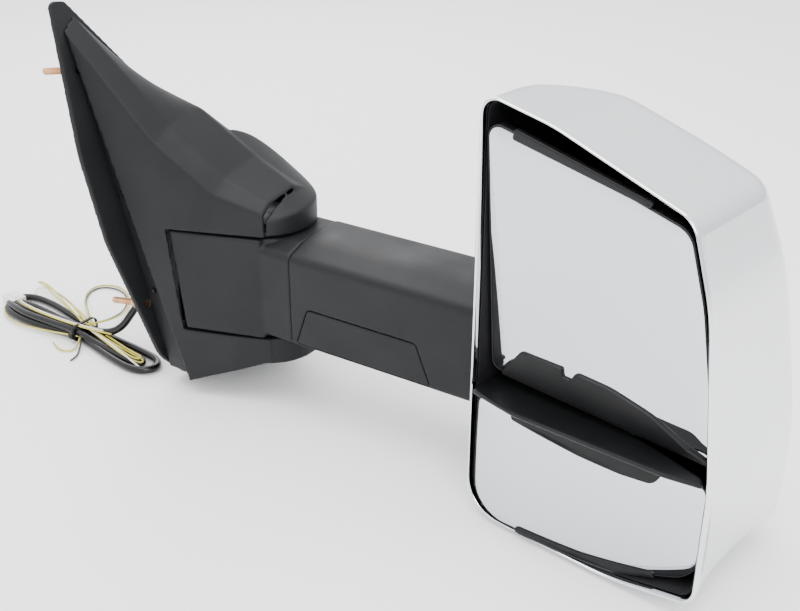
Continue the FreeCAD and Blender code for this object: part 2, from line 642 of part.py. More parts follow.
# slide carriage on the rods, and its bracket to the shell's front
CARRIAGE_X, CARRIAGE_LENGTH = 448.0, 34.0
sleeve = dim("rod_radius") + dim("running_gap") + 1.5
carriage = Part.makeBox(CARRIAGE_LENGTH, 26, 76, V(CARRIAGE_X, -22, -38))
bracket = Part.makeBox(26, 60, 40, V(CARRIAGE_X + 4, 3, -20))
carriage = carriage.fuse(bracket).common(placed(inner_head, HEAD)).removeSplitter()
for rod_z in ROD_ZS:
    carriage = carriage.cut(Part.makeCylinder(sleeve, 90, V(CARRIAGE_X - 20, ROD_Y, rod_z), X_AXIS))
feature("slide_carriage", carriage)
for row, rod_z in zip(("upper", "lower"), ROD_ZS):
    rings = []
    for x_low in (CARRIAGE_X, CARRIAGE_X + CARRIAGE_LENGTH - 12):
        rings.append(turned(f"{row}_ring_{int(x_low)}",
                            ring_profile(dim("rod_radius") + dim("running_gap"), sleeve, 0, 12),
                            at(x_low, ROD_Y, rod_z, (1, 0, 0))))
    group(f"{row}_rod_bushes", *rings)

# frames that carry the actuators on the shell's front
def strut_frame(name, frame, outline, level, posts):
    """A plate behind an actuator with posts that reach the shell's front wall."""
    plate = placed(upright_prism(outline, level, level + 3, 0), frame)
    for x, z in posts:
        plate = plate.fuse(placed(Part.makeCylinder(5, 150, V(x, level + 1, z), Y_AXIS), frame))
    feature(name, plate.common(placed(inner_head, HEAD)).removeSplitter())


strut_frame("upper_frame", UPPER, [(-74, 62, 8), (50, 50, 8), (60, -46, 8), (-74, -46, 8)], 39.2,
            [(-60, 46), (38, 36), (-60, -36), (46, -36)])
strut_frame("lower_frame", LOWER, [(-70, 10, 4), (76, 10, 4), (76, -38, 8), (-70, -38, 8)], 37.2,
            [(-58, -26), (60, -26)])

# ---------------------------------------------------------------------------------------------
# Wiring harness: sheathed lead out of the grommet, folded hank, tie and connector
# ---------------------------------------------------------------------------------------------
SHEATH = 6.0
HARNESS_ROUTE = [(0.5, -15, -42.5), (-24, -15, -47), (-42, -19, -61), (-52, -27, -79), (-58, -34, -97)]


def tube_route(points, diameter):
    """Straight runs joined by tangent arcs, as large as the runs allow."""
    corners = [V(*point) for point in points]
    edges, start = [], corners[0]
    for last, corner, following in zip(corners, corners[1:], corners[2:]):
        before, after = last - corner, following - corner
        half_turn = (math.pi - before.getAngle(after)) / 2
        setback = 0.45 * min(before.Length, after.Length)
        radius = setback / math.tan(half_turn)
        before.normalize()
        after.normalize()
        entry, leave = corner + before * setback, corner + after * setback
        inward = (before + after).normalize()
        middle = corner + inward * (radius / math.cos(half_turn) - radius)
        edges += [Part.LineSegment(start, entry).toShape(), Part.Arc(entry, middle, leave).toShape()]
        start = leave
        print(f"harness bend radius {radius:.1f} mm, {radius / diameter:.1f} diameters")
    edges.append(Part.LineSegment(start, corners[-1]).toShape())
    return Part.Wire(edges)


path = tube_route(HARNESS_ROUTE, SHEATH)
direction = V(*HARNESS_ROUTE[1]) - V(*HARNESS_ROUTE[0])
section = Part.Wire(Part.Circle(V(*HARNESS_ROUTE[0]), direction, SHEATH / 2).toShape())
tube = path.makePipeShell([section], True, False)
print(f"harness tube {tube.Volume:.0f} mm3, section times length {math.pi * SHEATH ** 2 / 4 * path.Length:.0f}")
feature("harness_lead", tube)
HANK = [(-214, -14, 16), (-20, -22, 14), (-14, -62, 14), (-208, -48, 14)]
hank = prism([(V(x, y, -117.5), radius) for x, y, radius in HANK], Z_AXIS * 21.5)
hank = hank.makeFillet(7, [edge for edge in hank.Edges if abs(edge.BoundBox.ZMin + 96) < 0.1])
feature("harness_hank", hank)
tie_outer = Part.makeBox(5, 50, 24.5, V(-132, -61, -118))
tie_inner = Part.makeBox(9, 47, 21.5, V(-134, -59.5, -117.5))
feature("harness_tie", tie_outer.cut(tie_inner).cut(hank))
plug_turn = FreeCAD.Rotation(Z_AXIS, -12)
housing = box("connector_housing", (-241, -34, -117.5), "22", "16", "10", plug_turn)
cavity = box("connector_cavity", (-243, -32, -116), "16", "13", "7", plug_turn)
cut("harness_connector", housing, cavity)

# ---------------------------------------------------------------------------------------------
# Writing the nodes
# ---------------------------------------------------------------------------------------------
NODES = ["door_gasket", "mounting_plate", "mounting_studs", "sail_cover", "cover_screws", "upper_pivot_lug",
         "lower_pivot_lug", "pivot_shaft", "pivot_nut", "thrust_washer", "spring_washer", "harness_grommet",
         "arm_tail", "lower_bush", "upper_bush", "detent_spring", "arm_shell", "arm_service_panel", "rod_guide",
         "upper_slide_rod", "lower_slide_rod", "chrome_shell", "rim_liner", "divider_shelf", "slide_carriage",
         "upper_rod_bushes", "lower_rod_bushes", "upper_frame", "lower_frame",
         "harness_lead", "harness_hank", "harness_tie", "harness_connector"]
for row in ("upper", "lower"):
    NODES += [f"{row}_{piece}" for piece in ("glass", "heater_film", "holder", "gimbal", "actuator_case",
                                             "actuator_cover", "motors", "tilt_plunger", "pan_plunger")]


def write_nodes():
    """Checks every object and writes one STEP file for each node."""
    doc.recompute()
    for obj in doc.Objects:
        if "Invalid" in obj.State or "Error" in obj.State:
            raise RuntimeError(f"{obj.Name} failed: {obj.State}")
    for name in NODES:
        shape = doc.getObject(name).Shape
        if shape.isNull() or not shape.isValid():
            raise RuntimeError(f"{name} has no valid shape")
        if not shape.Solids:
            raise RuntimeError(f"{name} holds no solid")
        doc.getObject(name).Label = name
        shape.exportStep(f"parts/{name}.step")
        print(f"{name}: {len(shape.Solids)} solids, {shape.Volume / 1000:.1f} cm3, {shape.BoundBox}")


write_nodes()
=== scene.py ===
import json
import math

import bmesh
import bpy
from mathutils import Matrix, Vector

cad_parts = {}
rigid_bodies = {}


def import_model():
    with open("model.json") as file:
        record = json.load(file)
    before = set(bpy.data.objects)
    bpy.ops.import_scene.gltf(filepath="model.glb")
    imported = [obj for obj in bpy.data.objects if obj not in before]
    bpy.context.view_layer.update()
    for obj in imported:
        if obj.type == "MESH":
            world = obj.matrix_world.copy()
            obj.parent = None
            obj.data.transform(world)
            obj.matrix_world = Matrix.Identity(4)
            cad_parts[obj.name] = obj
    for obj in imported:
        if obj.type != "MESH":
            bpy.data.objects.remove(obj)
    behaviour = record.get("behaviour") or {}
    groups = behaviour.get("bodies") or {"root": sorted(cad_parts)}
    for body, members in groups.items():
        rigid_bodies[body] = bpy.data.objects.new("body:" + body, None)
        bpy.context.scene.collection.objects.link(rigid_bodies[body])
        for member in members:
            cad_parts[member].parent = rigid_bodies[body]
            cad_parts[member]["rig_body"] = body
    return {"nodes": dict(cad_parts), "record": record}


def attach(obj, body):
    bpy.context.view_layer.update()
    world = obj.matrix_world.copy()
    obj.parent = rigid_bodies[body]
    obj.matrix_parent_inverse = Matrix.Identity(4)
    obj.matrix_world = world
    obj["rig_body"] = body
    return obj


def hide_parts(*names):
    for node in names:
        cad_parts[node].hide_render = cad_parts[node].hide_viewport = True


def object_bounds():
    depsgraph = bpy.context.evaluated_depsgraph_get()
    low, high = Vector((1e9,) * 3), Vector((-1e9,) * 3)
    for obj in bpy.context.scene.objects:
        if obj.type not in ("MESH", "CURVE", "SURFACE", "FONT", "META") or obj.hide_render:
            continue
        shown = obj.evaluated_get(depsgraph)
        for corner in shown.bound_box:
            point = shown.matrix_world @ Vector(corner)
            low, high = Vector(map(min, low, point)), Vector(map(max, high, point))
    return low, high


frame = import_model()
CAD_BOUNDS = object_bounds()
MM = 0.001

# ------------------------------------------------------------------------------------------
# Places and sizes, in metres unless the name says otherwise
# ------------------------------------------------------------------------------------------
# The frames of the head and of each glass: X runs outboard, Y forward and Z up.
HEAD_YAW = math.radians(8.1)
HEAD = Matrix.Translation(Vector((362.2, -78.8, 107.4)) * MM) @ Matrix.Rotation(-HEAD_YAW, 4, "Z")
UPPER = HEAD @ Matrix.Translation(Vector((96, 24, -2)) * MM) @ Matrix.Rotation(math.radians(4.5), 4, "X")
LOWER = HEAD @ Matrix.Translation(Vector((94, 27, -172)) * MM) @ Matrix.Rotation(math.radians(7.0), 4, "Z")
FLOOR_Z = CAD_BOUNDS[0][2] - 0.0005


# ------------------------------------------------------------------------------------------
# Camera, lights, floor
# ------------------------------------------------------------------------------------------
CAMERA_PLACE = (0.735, -0.738, 0.439)
CAMERA_AZIMUTH = 33.7
CAMERA_ELEVATION = 26.4
LENS_LENGTH = 53.28
SENSOR_WIDTH = 36.0
FLOOR_REACH = 6.0


def aim(azimuth, elevation):
    """The unit vector from the camera towards the object."""
    across, lift = math.radians(azimuth), math.radians(elevation)
    return Vector((-math.sin(across) * math.cos(lift), math.cos(across) * math.cos(lift), -math.sin(lift)))


def add_camera():
    """The camera that the catalogue view is taken with."""
    data = bpy.data.cameras.new("catalogue_camera")
    data.lens = LENS_LENGTH
    data.sensor_width = SENSOR_WIDTH
    data.clip_start = 0.05
    data.clip_end = 30
    camera = bpy.data.objects.new("catalogue_camera", data)
    camera.location = CAMERA_PLACE
    camera.rotation_euler = aim(CAMERA_AZIMUTH, CAMERA_ELEVATION).to_track_quat("-Z", "Y").to_euler()
    bpy.context.collection.objects.link(camera)
    bpy.context.scene.camera = camera


def add_softbox(name, location, target, size, power):
    """A rectangular area light that looks at a point."""
    data = bpy.data.lights.new(name, "AREA")
    data.shape = "RECTANGLE"
    data.size, data.size_y = size
    data.energy = power
    lamp = bpy.data.objects.new(name, data)
    lamp.location = location
    lamp.rotation_euler = (Vector(target) - Vector(location)).to_track_quat("-Z", "Y").to_euler()
    bpy.context.collection.objects.link(lamp)


def add_studio():
    """A white room, a pale floor and soft lights."""
    world = bpy.data.worlds.new("studio_room")
    bpy.context.scene.world = world
    world.use_nodes = True
    nodes, links = world.node_tree.nodes, world.node_tree.links
    place = nodes.new("ShaderNodeTexCoord")
    split = nodes.new("ShaderNodeSeparateXYZ")
    ramp = nodes.new("ShaderNodeValToRGB")
    ramp.color_ramp.elements[0].position = 0.0
    ramp.color_ramp.elements[0].color = (0.62, 0.64, 0.68, 1)
    ramp.color_ramp.elements[1].position = 0.75
    ramp.color_ramp.elements[1].color = (1.0, 1.0, 1.0, 1)
    links.new(place.outputs["Generated"], split.inputs["Vector"])
    links.new(split.outputs["Z"], ramp.inputs["Fac"])
    background = nodes["Background"]
    links.new(ramp.outputs["Color"], background.inputs["Color"])
    background.inputs["Strength"].default_value = 2.3
    add_softbox("overhead_softbox", (0.2, -0.3, 1.7), (0.25, 0, 0), (1.6, 1.2), 30)
    add_softbox("camera_softbox", (1.4, -1.3, 0.9), (0.3, 0, 0.05), (0.9, 0.9), 16)
    add_softbox("rear_softbox", (-0.9, 1.0, 1.0), (0.2, 0, 0.05), (0.9, 0.7), 12)
    mesh = bpy.data.meshes.new("studio_floor")
    corners = [(x * FLOOR_REACH, y * FLOOR_REACH, FLOOR_Z) for x, y in ((-1, -1), (1, -1), (1, 1), (-1, 1))]
    mesh.from_pydata(corners, [], [(0, 1, 2, 3)])
    floor = bpy.data.objects.new("studio_floor", mesh)
    bpy.context.collection.objects.link(floor)
    paint = bpy.data.materials.new("floor_paint")
    paint.use_nodes = True
    shader = paint.node_tree.nodes["Principled BSDF"]
    shader.inputs["Base Color"].default_value = (0.93, 0.93, 0.93, 1)
    shader.inputs["Roughness"].default_value = 0.75
    shader.inputs["Specular IOR Level"].default_value = 0.1
    mesh.materials.append(paint)


add_camera()
add_studio()


# ------------------------------------------------------------------------------------------
# Shared shader groups
# ------------------------------------------------------------------------------------------
def group_socket(tree, name, kind, direction, value=None):
    """Adds one named input or output to a node group."""
    socket = tree.interface.new_socket(name=name, in_out=direction, socket_type=kind)
    if value is not None:
        socket.default_value = value


def moulded_grain_group():
    """Fine moulded grain: a bump normal and a roughness that wanders a little."""
    tree = bpy.data.node_groups.new("moulded_grain", "ShaderNodeTree")
    group_socket(tree, "Grain Scale", "NodeSocketFloat", "INPUT", 1800.0)
    group_socket(tree, "Grain Depth", "NodeSocketFloat", "INPUT", 0.25)
    group_socket(tree, "Roughness", "NodeSocketFloat", "INPUT", 0.5)
    group_socket(tree, "Roughness Spread", "NodeSocketFloat", "INPUT", 0.08)
    group_socket(tree, "Normal", "NodeSocketVector", "OUTPUT")
    group_socket(tree, "Roughness", "NodeSocketFloat", "OUTPUT")
    nodes, links = tree.nodes, tree.links
    source = nodes.new("NodeGroupInput")
    sink = nodes.new("NodeGroupOutput")
    place = nodes.new("ShaderNodeTexCoord")
    cells = nodes.new("ShaderNodeTexVoronoi")
    cells.feature = "SMOOTH_F1"
    fine = nodes.new("ShaderNodeTexNoise")
    fine.inputs["Detail"].default_value = 3.0
    broad = nodes.new("ShaderNodeTexNoise")
    broad.inputs["Scale"].default_value = 22.0
    broad.inputs["Detail"].default_value = 5.0
    blend = nodes.new("ShaderNodeMath")
    blend.operation = "ADD"
    bump = nodes.new("ShaderNodeBump")
    bump.inputs["Distance"].default_value = 0.00012
    spread = nodes.new("ShaderNodeMapRange")
    spread.inputs["From Min"].default_value = 0.35
    spread.inputs["From Max"].default_value = 0.65
    low = nodes.new("ShaderNodeMath")
    low.operation = "SUBTRACT"
    high = nodes.new("ShaderNodeMath")
    high.operation = "ADD"
    for texture in (cells, fine, broad):
        links.new(place.outputs["Object"], texture.inputs["Vector"])
    links.new(source.outputs["Grain Scale"], cells.inputs["Scale"])
    links.new(source.outputs["Grain Scale"], fine.inputs["Scale"])
    links.new(cells.outputs["Distance"], blend.inputs[0])
    links.new(fine.outputs["Fac"], blend.inputs[1])
    links.new(blend.outputs[0], bump.inputs["Height"])
    links.new(source.outputs["Grain Depth"], bump.inputs["Strength"])
    for node in (low, high):
        links.new(source.outputs["Roughness"], node.inputs[0])
        links.new(source.outputs["Roughness Spread"], node.inputs[1])
    links.new(broad.outputs["Fac"], spread.inputs["Value"])
    links.new(low.outputs[0], spread.inputs["To Min"])
    links.new(high.outputs[0], spread.inputs["To Max"])
    links.new(spread.outputs["Result"], sink.inputs["Roughness"])
    links.new(bump.outputs["Normal"], sink.inputs["Normal"])
    return tree


def tone_drift_group():
    """Two close tones that drift into each other."""
    tree = bpy.data.node_groups.new("tone_drift", "ShaderNodeTree")
    group_socket(tree, "Tone", "NodeSocketColor", "INPUT", (0.03, 0.03, 0.03, 1))
    group_socket(tree, "Second Tone", "NodeSocketColor", "INPUT", (0.04, 0.04, 0.04, 1))
    group_socket(tree, "Drift Scale", "NodeSocketFloat", "INPUT", 14.0)
    group_socket(tree, "Color", "NodeSocketColor", "OUTPUT")
    nodes, links = tree.nodes, tree.links
    source = nodes.new("NodeGroupInput")
    sink = nodes.new("NodeGroupOutput")
    place = nodes.new("ShaderNodeTexCoord")
    cloud = nodes.new("ShaderNodeTexNoise")
    cloud.inputs["Detail"].default_value = 6.0
    cloud.inputs["Roughness"].default_value = 0.6
    ramp = nodes.new("ShaderNodeValToRGB")
    ramp.color_ramp.elements[0].position = 0.35
    ramp.color_ramp.elements[1].position = 0.68
    mix = nodes.new("ShaderNodeMix")
    mix.data_type = "RGBA"
    links.new(place.outputs["Object"], cloud.inputs["Vector"])
    links.new(source.outputs["Drift Scale"], cloud.inputs["Scale"])
    links.new(cloud.outputs["Fac"], ramp.inputs["Fac"])
    links.new(ramp.outputs["Color"], mix.inputs[0])
    links.new(source.outputs["Tone"], mix.inputs[6])
    links.new(source.outputs["Second Tone"], mix.inputs[7])
    links.new(mix.outputs[2], sink.inputs["Color"])
    return tree


GRAIN = moulded_grain_group()
DRIFT = tone_drift_group()


def finish(name, tone, second, roughness, spread=0.06, grain=(1500.0, 0.2), drift=14.0, **plain):
    """A Principled material with drifting tone and moulded grain; plain sets sockets directly."""
    material = bpy.data.materials.new(name)
    material.use_nodes = True
    nodes, links = material.node_tree.nodes, material.node_tree.links
    shader = nodes["Principled BSDF"]
    tones = nodes.new("ShaderNodeGroup")
    tones.node_tree = DRIFT
    tones.inputs["Tone"].default_value = (*tone, 1)
    tones.inputs["Second Tone"].default_value = (*second, 1)
    tones.inputs["Drift Scale"].default_value = drift
    surface = nodes.new("ShaderNodeGroup")
    surface.node_tree = GRAIN
    surface.inputs["Grain Scale"].default_value = grain[0]
    surface.inputs["Grain Depth"].default_value = grain[1]
    surface.inputs["Roughness"].default_value = roughness
    surface.inputs["Roughness Spread"].default_value = spread
    links.new(tones.outputs["Color"], shader.inputs["Base Color"])
    links.new(surface.outputs["Normal"], shader.inputs["Normal"])
    links.new(surface.outputs["Roughness"], shader.inputs["Roughness"])
    for socket, value in plain.items():
        shader.inputs[socket.replace("_", " ")].default_value = value
    return material


TEXTURED_BLACK = finish("textured_black_moulding", (0.0062, 0.0066, 0.0074), (0.0082, 0.0086, 0.0094),
                        0.52, 0.05, (1500.0, 0.30), Specular_IOR_Level=0.22)
SATIN_BLACK = finish("satin_black_moulding", (0.0030, 0.0032, 0.0036), (0.0045, 0.0047, 0.0052), 0.40, 0.05,
                     (900.0, 0.10), Specular_IOR_Level=0.25)
# Black for the rim liner; the same black is also painted shade on the shell's inner faces.
LINER_AND_CAVITY_SHADE_BLACK = finish("black_lining_and_painted_cavity_shade", (0.006, 0.006, 0.007), (0.009, 0.009, 0.010), 0.5, 0.05, (900.0, 0.1),
                     Specular_IOR_Level=0.15)
CHROME = finish("bright_chrome_plating", (0.78, 0.795, 0.82), (0.81, 0.822, 0.84), 0.075, 0.02, (160.0, 0.015),
                9.0, Metallic=1.0)
SILVERED = finish("silvered_glass", (0.60, 0.61, 0.655), (0.615, 0.625, 0.667), 0.025, 0.008, (60.0, 0.0), 6.0,
                  Metallic=1.0, Coat_Weight=0.35, Coat_Roughness=0.02)
YELLOW_ZINC = finish("yellow_zinc_thread", (0.42, 0.20, 0.10), (0.60, 0.36, 0.18), 0.32, 0.08,
                     (2600.0, 0.3), 160.0, Metallic=1.0)
STEEL = finish("turned_steel", (0.52, 0.53, 0.55), (0.60, 0.61, 0.62), 0.28, 0.06, (2200.0, 0.25), 60.0,
               Metallic=1.0)
CAST_METAL = finish("die_cast_metal", (0.42, 0.43, 0.44), (0.50, 0.51, 0.51), 0.48, 0.08, (1400.0, 0.5), 30.0,
                    Metallic=1.0)
BRONZE = finish("sintered_bronze", (0.55, 0.38, 0.19), (0.62, 0.45, 0.25), 0.42, 0.06, (2600.0, 0.5), 60.0,
                Metallic=1.0)
FOAM = finish("closed_cell_foam", (0.018, 0.018, 0.018), (0.028, 0.028, 0.028), 0.92, 0.04, (700.0, 0.9))
RUBBER = finish("moulded_rubber", (0.012, 0.012, 0.012), (0.02, 0.02, 0.02), 0.6, 0.06, (1300.0, 0.25))
NYLON = finish("natural_nylon", (0.74, 0.73, 0.68), (0.80, 0.79, 0.75), 0.36, 0.05, (900.0, 0.12), 40.0,
               Subsurface_Weight=0.25, Subsurface_Scale=0.002)
ACETAL = finish("grey_acetal", (0.20, 0.205, 0.21), (0.25, 0.255, 0.26), 0.38, 0.05, (900.0, 0.12))
HEATER_FILM = finish("amber_heater_film", (0.33, 0.17, 0.05), (0.42, 0.24, 0.08), 0.3, 0.05, (500.0, 0.05))
SHEATH = finish("glossy_black_sheath", (0.003, 0.003, 0.0035), (0.006, 0.006, 0.0065), 0.2, 0.06, (500.0, 0.15),
                90.0, Specular_IOR_Level=0.35)
WIRE_YELLOW = finish("yellow_wire", (0.46, 0.40, 0.035), (0.60, 0.54, 0.09), 0.38, 0.05, (800.0, 0.1), 80.0)
WIRE_WHITE = finish("white_wire", (0.72, 0.71, 0.68), (0.80, 0.79, 0.76), 0.38, 0.05, (800.0, 0.1), 80.0)
WIRE_BLACK = finish("black_wire", (0.012, 0.012, 0.013), (0.02, 0.02, 0.02), 0.34, 0.05, (800.0, 0.1), 80.0)


# ------------------------------------------------------------------------------------------
# Mesh helpers
# ------------------------------------------------------------------------------------------
def corner_arc(before, corner, after, radius, steps):
    """Points along the rounding of one corner of a flat polygon."""
    to_before = (before - corner).normalized()
    to_after = (after - corner).normalized()
    half = to_before.angle(to_after) / 2
    setback = radius / math.tan(half)
    centre = corner + (to_before + to_after).normalized() * (radius / math.sin(half))
    start = corner + to_before * setback - centre
    end = corner + to_after * setback - centre
    first = math.atan2(start.y, start.x)
    sweep = math.remainder(math.atan2(end.y, end.x) - first, 2 * math.pi)
    return [centre + Vector((math.cos(first + sweep * k / steps), math.sin(first + sweep * k / steps))) * radius
            for k in range(steps + 1)]


def rounded_loop(corners, spacing, arc_steps):
    """A closed loop of flat points through (x, z, radius) corners, evenly walked along the straights."""
    count = len(corners)
    points = [Vector((x, z)) for x, z, _ in corners]
    loop = []
    for i, (_, _, radius) in enumerate(corners):
        arc = corner_arc(points[i - 1], points[i], points[(i + 1) % count], radius, arc_steps)
        if loop:
            gap = arc[0] - loop[-1]
            parts = max(1, round(gap.length / spacing))
            loop += [loop[-1] + gap * (k / parts) for k in range(1, parts)]
        loop += arc
    gap = loop[0] - loop[-1]
    parts = max(1, round(gap.length / spacing))
    last = loop[-1]
    loop += [last + gap * (k / parts) for k in range(1, parts)]
    cleaned = [loop[0]]
    for point in loop[1:]:
        if (point - cleaned[-1]).length > 1e-4:
            cleaned.append(point)
    return cleaned


def inset_loop(loop, distance):
    """A loop moved inward along its own normals; the loop runs clockwise or anticlockwise."""
    area = sum(a.x * b.y - b.x * a.y for a, b in zip(loop, loop[1:] + loop[:1]))
    side = 1 if area > 0 else -1
    moved = []
    for before, here, after in zip(loop[-1:] + loop[:-1], loop, loop[1:] + loop[:1]):
        along = (after - before).normalized()
        moved.append(here + Vector((-along.y, along.x)) * distance * side)
    return moved


WELD = 1e-7


def make_object(name, verts, faces, material, body, place=Matrix.Identity(4), smooth=True):
    """A mesh object from millimetre points in a local frame, riding on a body."""
    mesh = bpy.data.meshes.new(name)
    mesh.from_pydata([place @ (Vector(point) * MM) for point in verts], [], faces)
    mesh.validate()
    work = bmesh.new()
    work.from_mesh(mesh)
    bmesh.ops.remove_doubles(work, verts=work.verts, dist=WELD)
    bmesh.ops.recalc_face_normals(work, faces=work.faces)
    work.to_mesh(mesh)
    work.free()
    mesh.materials.append(material)
    for face in mesh.polygons:
        face.use_smooth = smooth
    obj = bpy.data.objects.new(name, mesh)
    bpy.context.collection.objects.link(obj)
    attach(obj, body)
    return obj


def skin(rings, closed_ends=(True, True)):
    """Vertices and faces of quads between rings of equal length, with optional end caps."""
    size = len(rings[0])
    verts = [point for ring in rings for point in ring]
    faces = []
    for row in range(len(rings) - 1):
        base, above = row * size, (row + 1) * size
        for k in range(size):
            nxt = (k + 1) % size
            faces.append((base + k, base + nxt, above + nxt, above + k))
    if closed_ends[0]:
        faces.append(tuple(range(size - 1, -1, -1)))
    if closed_ends[1]:
        top = (len(rings) - 1) * size
        faces.append(tuple(range(top, top + size)))
    return verts, faces


def fan_cap(verts, faces, ring_start, size, centre):
    """Closes a ring with triangles to a centre point."""
    verts.append(centre)
    middle = len(verts) - 1
    for k in range(size):
        faces.append((ring_start + k, ring_start + (k + 1) % size, middle))


def shade_sharp(obj, angle):
    """Smooth shading that keeps edges sharper than an angle."""
    limit = math.radians(angle)
    work = bmesh.new()
    work.from_mesh(obj.data)
    for edge in work.edges:
        if len(edge.link_faces) == 2 and edge.calc_face_angle(0.0) > limit:
            edge.smooth = False
    work.to_mesh(obj.data)
    work.free()


def settle(obj):
    """Applies the object's modifiers to its mesh."""
    graph = bpy.context.evaluated_depsgraph_get()
    made = bpy.data.meshes.new_from_object(obj.evaluated_get(graph))
    obj.modifiers.clear()
    obj.data = made


def bevelled(obj, width, segments):
    """Rounds the sharp edges of a piece and weights its normals."""
    bevel = obj.modifiers.new("rounding", "BEVEL")
    bevel.width = width
    bevel.segments = segments
    bevel.limit_method = "ANGLE"
    bevel.angle_limit = math.radians(30)
    bevel.harden_normals = False
    weights = obj.modifiers.new("weights", "WEIGHTED_NORMAL")
    weights.keep_sharp = True
    settle(obj)


# ------------------------------------------------------------------------------------------
# Wiring harness: the sheathed lead, its loose wires, tie and connector
# ------------------------------------------------------------------------------------------
def add_cord(name, route, thickness, material):
    """A cord as one NURBS spline; its radius is on the points, so that its box is the cord's own."""
    curve = bpy.data.curves.new(name, "CURVE")
    curve.dimensions = "3D"
    curve.bevel_depth = 1.0
    curve.bevel_resolution = 5
    curve.resolution_u = 12
    curve.use_fill_caps = True
    spline = curve.splines.new("NURBS")
    spline.points.add(len(route) - 1)
    for point, place in zip(spline.points, route):
        point.co = (*(Vector(place) * MM), 1)
        point.radius = thickness / 2 * MM
    spline.order_u = 3
    spline.use_endpoint_u = True
    curve.materials.append(material)
    cord = bpy.data.objects.new(name, curve)
    bpy.context.collection.objects.link(cord)
    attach(cord, "base")
    return cord


def spline_points(cord):
    """The points of a cord's own NURBS line, with no bevel."""
    bevel = cord.data.bevel_depth
    cord.data.bevel_depth = 0
    mesh = bpy.data.meshes.new_from_object(cord)
    cord.data.bevel_depth = bevel
    points = [vertex.co.copy() for vertex in mesh.vertices]
    bpy.data.meshes.remove(mesh)
    return points


def path_length(points):
    """Length of a line through points."""
    return sum((b - a).length for a, b in zip(points, points[1:]))


LEAD_DIAMETER = 7.4
LEAD_ROUTE = [(0.5, -15, -42.5), (-24, -15, -47), (-42, -19, -61), (-52, -27, -79), (-62, -34, -96),
              (-80, -39, -105), (-112, -41, -106.5), (-150, -42, -107), (-188, -40, -109), (-220, -35, -112),
              (-232, -22, -114), (-220, -10, -114), (-188, -11, -114), (-150, -19, -114),
              (-112, -28, -114), (-74, -31, -114), (-38, -34, -114), (-10, -38, -114),
              (-1, -52, -114), (-14, -66, -114), (-52, -61, -114), (-112, -45, -114),
              (-150, -50, -114), (-190, -53, -114), (-222, -46, -114), (-228, -30, -114.2),
              (-206, -25, -114), (-160, -30, -114), (-112, -36.6, -114), (-74, -42, -114), (-46, -44, -114),
              (-24, -46, -113.6), (-17, -54, -113.6), (-32, -56, -113.6), (-74, -50, -113), (-112, -48, -107),
              (-150, -49, -107.5), (-186, -49, -108.5), (-212, -43, -110), (-226, -37, -112.5)]
WIRE_DIAMETER = 1.7
LOOSE_WIRES = [
    ("yellow_wire_fan_back", WIRE_YELLOW,
     [(-110, -33, -110), (-140, -26, -104), (-180, -14, -101), (-216, 2, -104), (-240, 12, -110),
      (-236, 19, -113), (-206, 9, -112), (-168, -8, -106), (-128, -24, -104), (-104, -32, -110)]),
    ("yellow_wire_fan_front", WIRE_YELLOW,
     [(-112, -35, -109), (-146, -24, -102), (-184, -9, -100), (-222, 7, -106), (-233, 17, -112),
      (-224, 16, -114), (-190, 1, -109), (-156, -13, -103), (-116, -31, -108)]),
    ("yellow_wire_top_run", WIRE_YELLOW,
     [(-70, -41, -102), (-92, -45, -102), (-118, -47, -102), (-150, -46, -103.5), (-182, -43, -105),
      (-208, -37, -107.5), (-224, -29, -110), (-226, -24, -113)]),
    ("white_wire_top_run", WIRE_WHITE,
     [(-74, -39, -101.8), (-96, -43, -101.6), (-120, -45.5, -101.6), (-152, -44.5, -103),
      (-184, -41, -104.6), (-210, -34, -107.6), (-224, -25, -111), (-222, -20, -114)]),
    ("yellow_wire_low_run", WIRE_YELLOW,
     [(-100, -50, -110), (-126, -54, -112), (-156, -58, -114), (-186, -61, -115), (-212, -56, -115),
      (-226, -44, -114)]),
    ("white_wire_high_run", WIRE_WHITE,
     [(-106, -28, -108), (-136, -19, -105), (-170, -7, -104), (-204, 5, -108), (-226, 11, -113),
      (-236, 4, -115), (-224, -4, -115)]),
    ("wire_wide_loop", WIRE_YELLOW,
     [(-98, -36, -103), (-116, -28, -101), (-138, -10, -106), (-164, 10, -115), (-186, 32, -117),
      (-189, 54, -117), (-166, 64, -117), (-138, 50, -116), (-112, 20, -113), (-98, -4, -106),
      (-96, -26, -102), (-106, -40, -102)]),
    ("black_wire_wide_loop", WIRE_BLACK,
     [(-96, -37, -104), (-118, -25, -103), (-142, -6, -108), (-170, 16, -116), (-184, 36, -117),
      (-182, 52, -117), (-160, 58, -117), (-134, 44, -116), (-114, 18, -113), (-102, -6, -107),
      (-100, -28, -103), (-110, -42, -102.5)]),
    ("yellow_wire_right_fold", WIRE_YELLOW,
     [(-104, -40, -104), (-84, -42, -107), (-60, -45, -109), (-38, -48, -110), (-20, -50, -110),
      (-15, -54, -111), (-24, -58, -110), (-48, -54, -109), (-76, -47, -107), (-100, -42, -105)]),
    ("yellow_wire_right_inner", WIRE_YELLOW,
     [(-104, -38, -103), (-82, -40, -105), (-58, -43, -108), (-34, -47, -109), (-22, -49, -108),
      (-20, -54, -109), (-34, -55, -108), (-58, -49, -107), (-84, -43, -105), (-102, -40, -104)]),
    ("white_wire_right_run", WIRE_WHITE,
     [(-102, -42, -104), (-76, -47, -105), (-50, -53, -107), (-26, -59, -109), (-10, -62, -112)]),
    ("yellow_wire_cut_tail", WIRE_YELLOW,
     [(-106, -48, -110), (-101, -57, -114), (-98, -66, -117), (-104, -72, -117), (-112, -73, -117),
      (-121, -69, -117)]),
    ("black_wire_cut_tail", WIRE_BLACK,
     [(-105, -48, -109), (-97, -57, -113), (-91, -66, -117), (-86, -74, -117), (-85, -82, -117)]),
]
TIE_CENTRE = (-111.5, -38, -109.6)
CONNECTOR_CORNER = (-241, -34, -117.5)
CONNECTOR_YAW = -12
